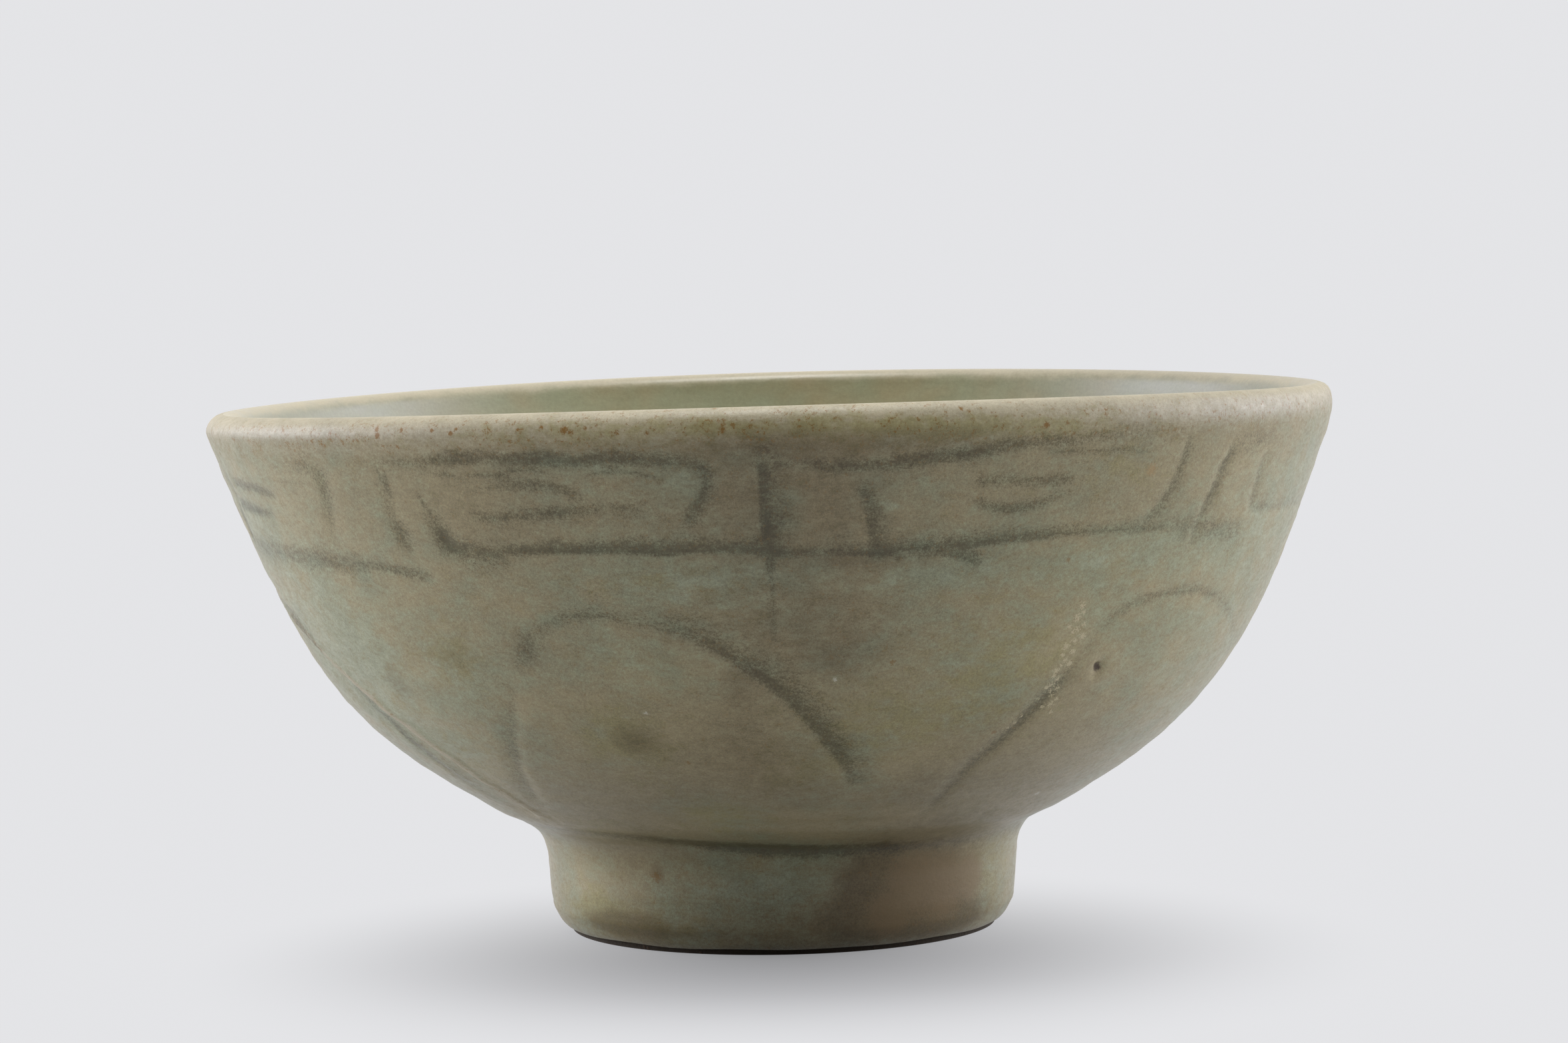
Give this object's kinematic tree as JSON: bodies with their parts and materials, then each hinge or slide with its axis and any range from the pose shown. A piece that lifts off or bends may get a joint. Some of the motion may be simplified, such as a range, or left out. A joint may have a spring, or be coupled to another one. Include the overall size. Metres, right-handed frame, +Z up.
{
  "type": "celadon bowl",
  "caption": "Footed stoneware bowl with flaring walls, a rounded lip, a turned foot ring and green glaze inside and out, for food or display.",
  "frame": {"origin": "centre of the foot ring's standing edge, on the surface that the bowl stands on", "axes": "+Z up along the axis the bowl was thrown on, +X to the right as the picture shows it, -Y towards the viewer"},
  "size_m": [0.1499, 0.15, 0.0725],
  "materials": {
    "bare_stoneware": "unglazed, burnt orange, matt",
    "outer_celadon": "satin grey-green celadon, mottled",
    "inner_celadon": "satin grey-green celadon",
    "base_celadon": "glossy grey-green celadon"
  },
  "bodies": {
    "root": {"clay_body": "bare_stoneware", "outer_glaze": "outer_celadon", "inner_glaze": "inner_celadon", "base_glaze": "base_celadon"}
  },
  "joints": []
}
